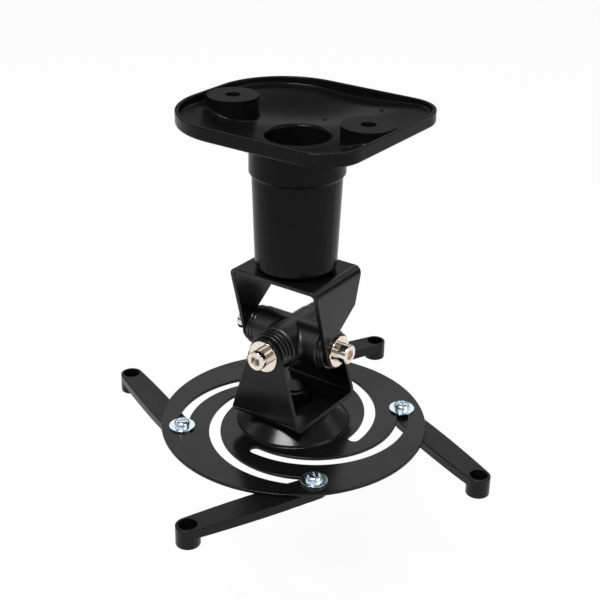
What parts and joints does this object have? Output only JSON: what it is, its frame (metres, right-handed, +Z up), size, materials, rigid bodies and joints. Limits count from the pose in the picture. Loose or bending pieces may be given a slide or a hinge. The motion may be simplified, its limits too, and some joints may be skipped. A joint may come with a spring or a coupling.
{
  "type": "projector ceiling mount",
  "caption": "Ceiling mount for a projector: cast tray plate with a short column, a cross joint between bent yokes, and a spiral-slotted disc with swinging arms.",
  "frame": {"origin": "midway between the two ceiling screw holes, on the column's axis, in the ceiling plane", "axes": "+Z up to the ceiling along the column, +X along the line of the two ceiling screw holes"},
  "size_m": [0.2642, 0.2642, 0.2203],
  "materials": {
    "cast_black": "black satin powder coat on a die-casting",
    "sheet_black": "black satin powder coat on bent steel sheet",
    "cross_black": "black semi-gloss coat",
    "ring_black": "black nylon",
    "black_steel": "black-oxide steel",
    "nickel_steel": "bright nickel plate",
    "zinc_steel": "bluish bright zinc plate"
  },
  "bodies": {
    "ceiling": {"ceiling_column": "cast_black", "swivel_bolt": "black_steel", "swivel_washer": "black_steel", "swivel_nut": "black_steel"},
    "upper": {"upper_yoke": "sheet_black"},
    "cross": {"cross_block": "cross_black", "tilt_friction_rings": "ring_black", "roll_friction_rings": "ring_black", "tilt_screws": "nickel_steel", "roll_screws": "nickel_steel", "tilt_washers": "nickel_steel", "roll_washers": "nickel_steel"},
    "lower": {"lower_yoke": "sheet_black", "pan_bolt": "black_steel", "pan_washer": "black_steel", "pan_nut": "black_steel"},
    "spider": {"spider_disc": "sheet_black"},
    "clamp_1": {"clamp_screw_1": "zinc_steel", "clamp_washer_1": "zinc_steel"},
    "arm_1": {"arm_1": "cast_black"},
    "clamp_2": {"clamp_screw_2": "zinc_steel", "clamp_washer_2": "zinc_steel"},
    "arm_2": {"arm_2": "cast_black"},
    "clamp_3": {"clamp_screw_3": "zinc_steel", "clamp_washer_3": "zinc_steel"},
    "arm_3": {"arm_3": "cast_black"},
    "clamp_4": {"clamp_screw_4": "zinc_steel", "clamp_washer_4": "zinc_steel"},
    "arm_4": {"arm_4": "cast_black"}
  },
  "joints": [
    {"name": "swivel", "type": "hinge", "parent": "ceiling", "child": "upper", "pos_m": [0, 0, -0.099], "axis": [0, 0, 1], "continuous": true},
    {"name": "tilt", "type": "hinge", "parent": "upper", "child": "cross", "pos_m": [0, 0, -0.1465], "axis": [1, 0, 0], "range_deg": [-25, 25]},
    {"name": "roll", "type": "hinge", "parent": "cross", "child": "lower", "pos_m": [0, 0, -0.1465], "axis": [0, 1, 0], "range_deg": [-25, 25]},
    {"name": "pan", "type": "hinge", "parent": "lower", "child": "spider", "pos_m": [0, 0, -0.194], "axis": [0, 0, 1], "continuous": true},
    {"name": "slide_1", "type": "hinge", "parent": "spider", "child": "clamp_1", "pos_m": [0.00513, 0.01409, -0.2057], "axis": [0, 0, 1], "range_deg": [-55, 0]},
    {"name": "swing_1", "type": "hinge", "parent": "clamp_1", "child": "arm_1", "pos_m": [0.05056, 0.05056, -0.2057], "axis": [0, 0, 1], "range_deg": [-45, 150]},
    {"name": "slide_2", "type": "hinge", "parent": "spider", "child": "clamp_2", "pos_m": [-0.01409, 0.00513, -0.2057], "axis": [0, 0, 1], "range_deg": [-55, 0]},
    {"name": "swing_2", "type": "hinge", "parent": "clamp_2", "child": "arm_2", "pos_m": [-0.05056, 0.05056, -0.2057], "axis": [0, 0, 1], "range_deg": [-45, 150]},
    {"name": "slide_3", "type": "hinge", "parent": "spider", "child": "clamp_3", "pos_m": [-0.00513, -0.01409, -0.2057], "axis": [0, 0, 1], "range_deg": [-55, 0]},
    {"name": "swing_3", "type": "hinge", "parent": "clamp_3", "child": "arm_3", "pos_m": [-0.05056, -0.05056, -0.2057], "axis": [0, 0, 1], "range_deg": [-45, 150]},
    {"name": "slide_4", "type": "hinge", "parent": "spider", "child": "clamp_4", "pos_m": [0.01409, -0.00513, -0.2057], "axis": [0, 0, 1], "range_deg": [-55, 0]},
    {"name": "swing_4", "type": "hinge", "parent": "clamp_4", "child": "arm_4", "pos_m": [0.05056, -0.05056, -0.2057], "axis": [0, 0, 1], "range_deg": [-45, 150]}
  ]
}
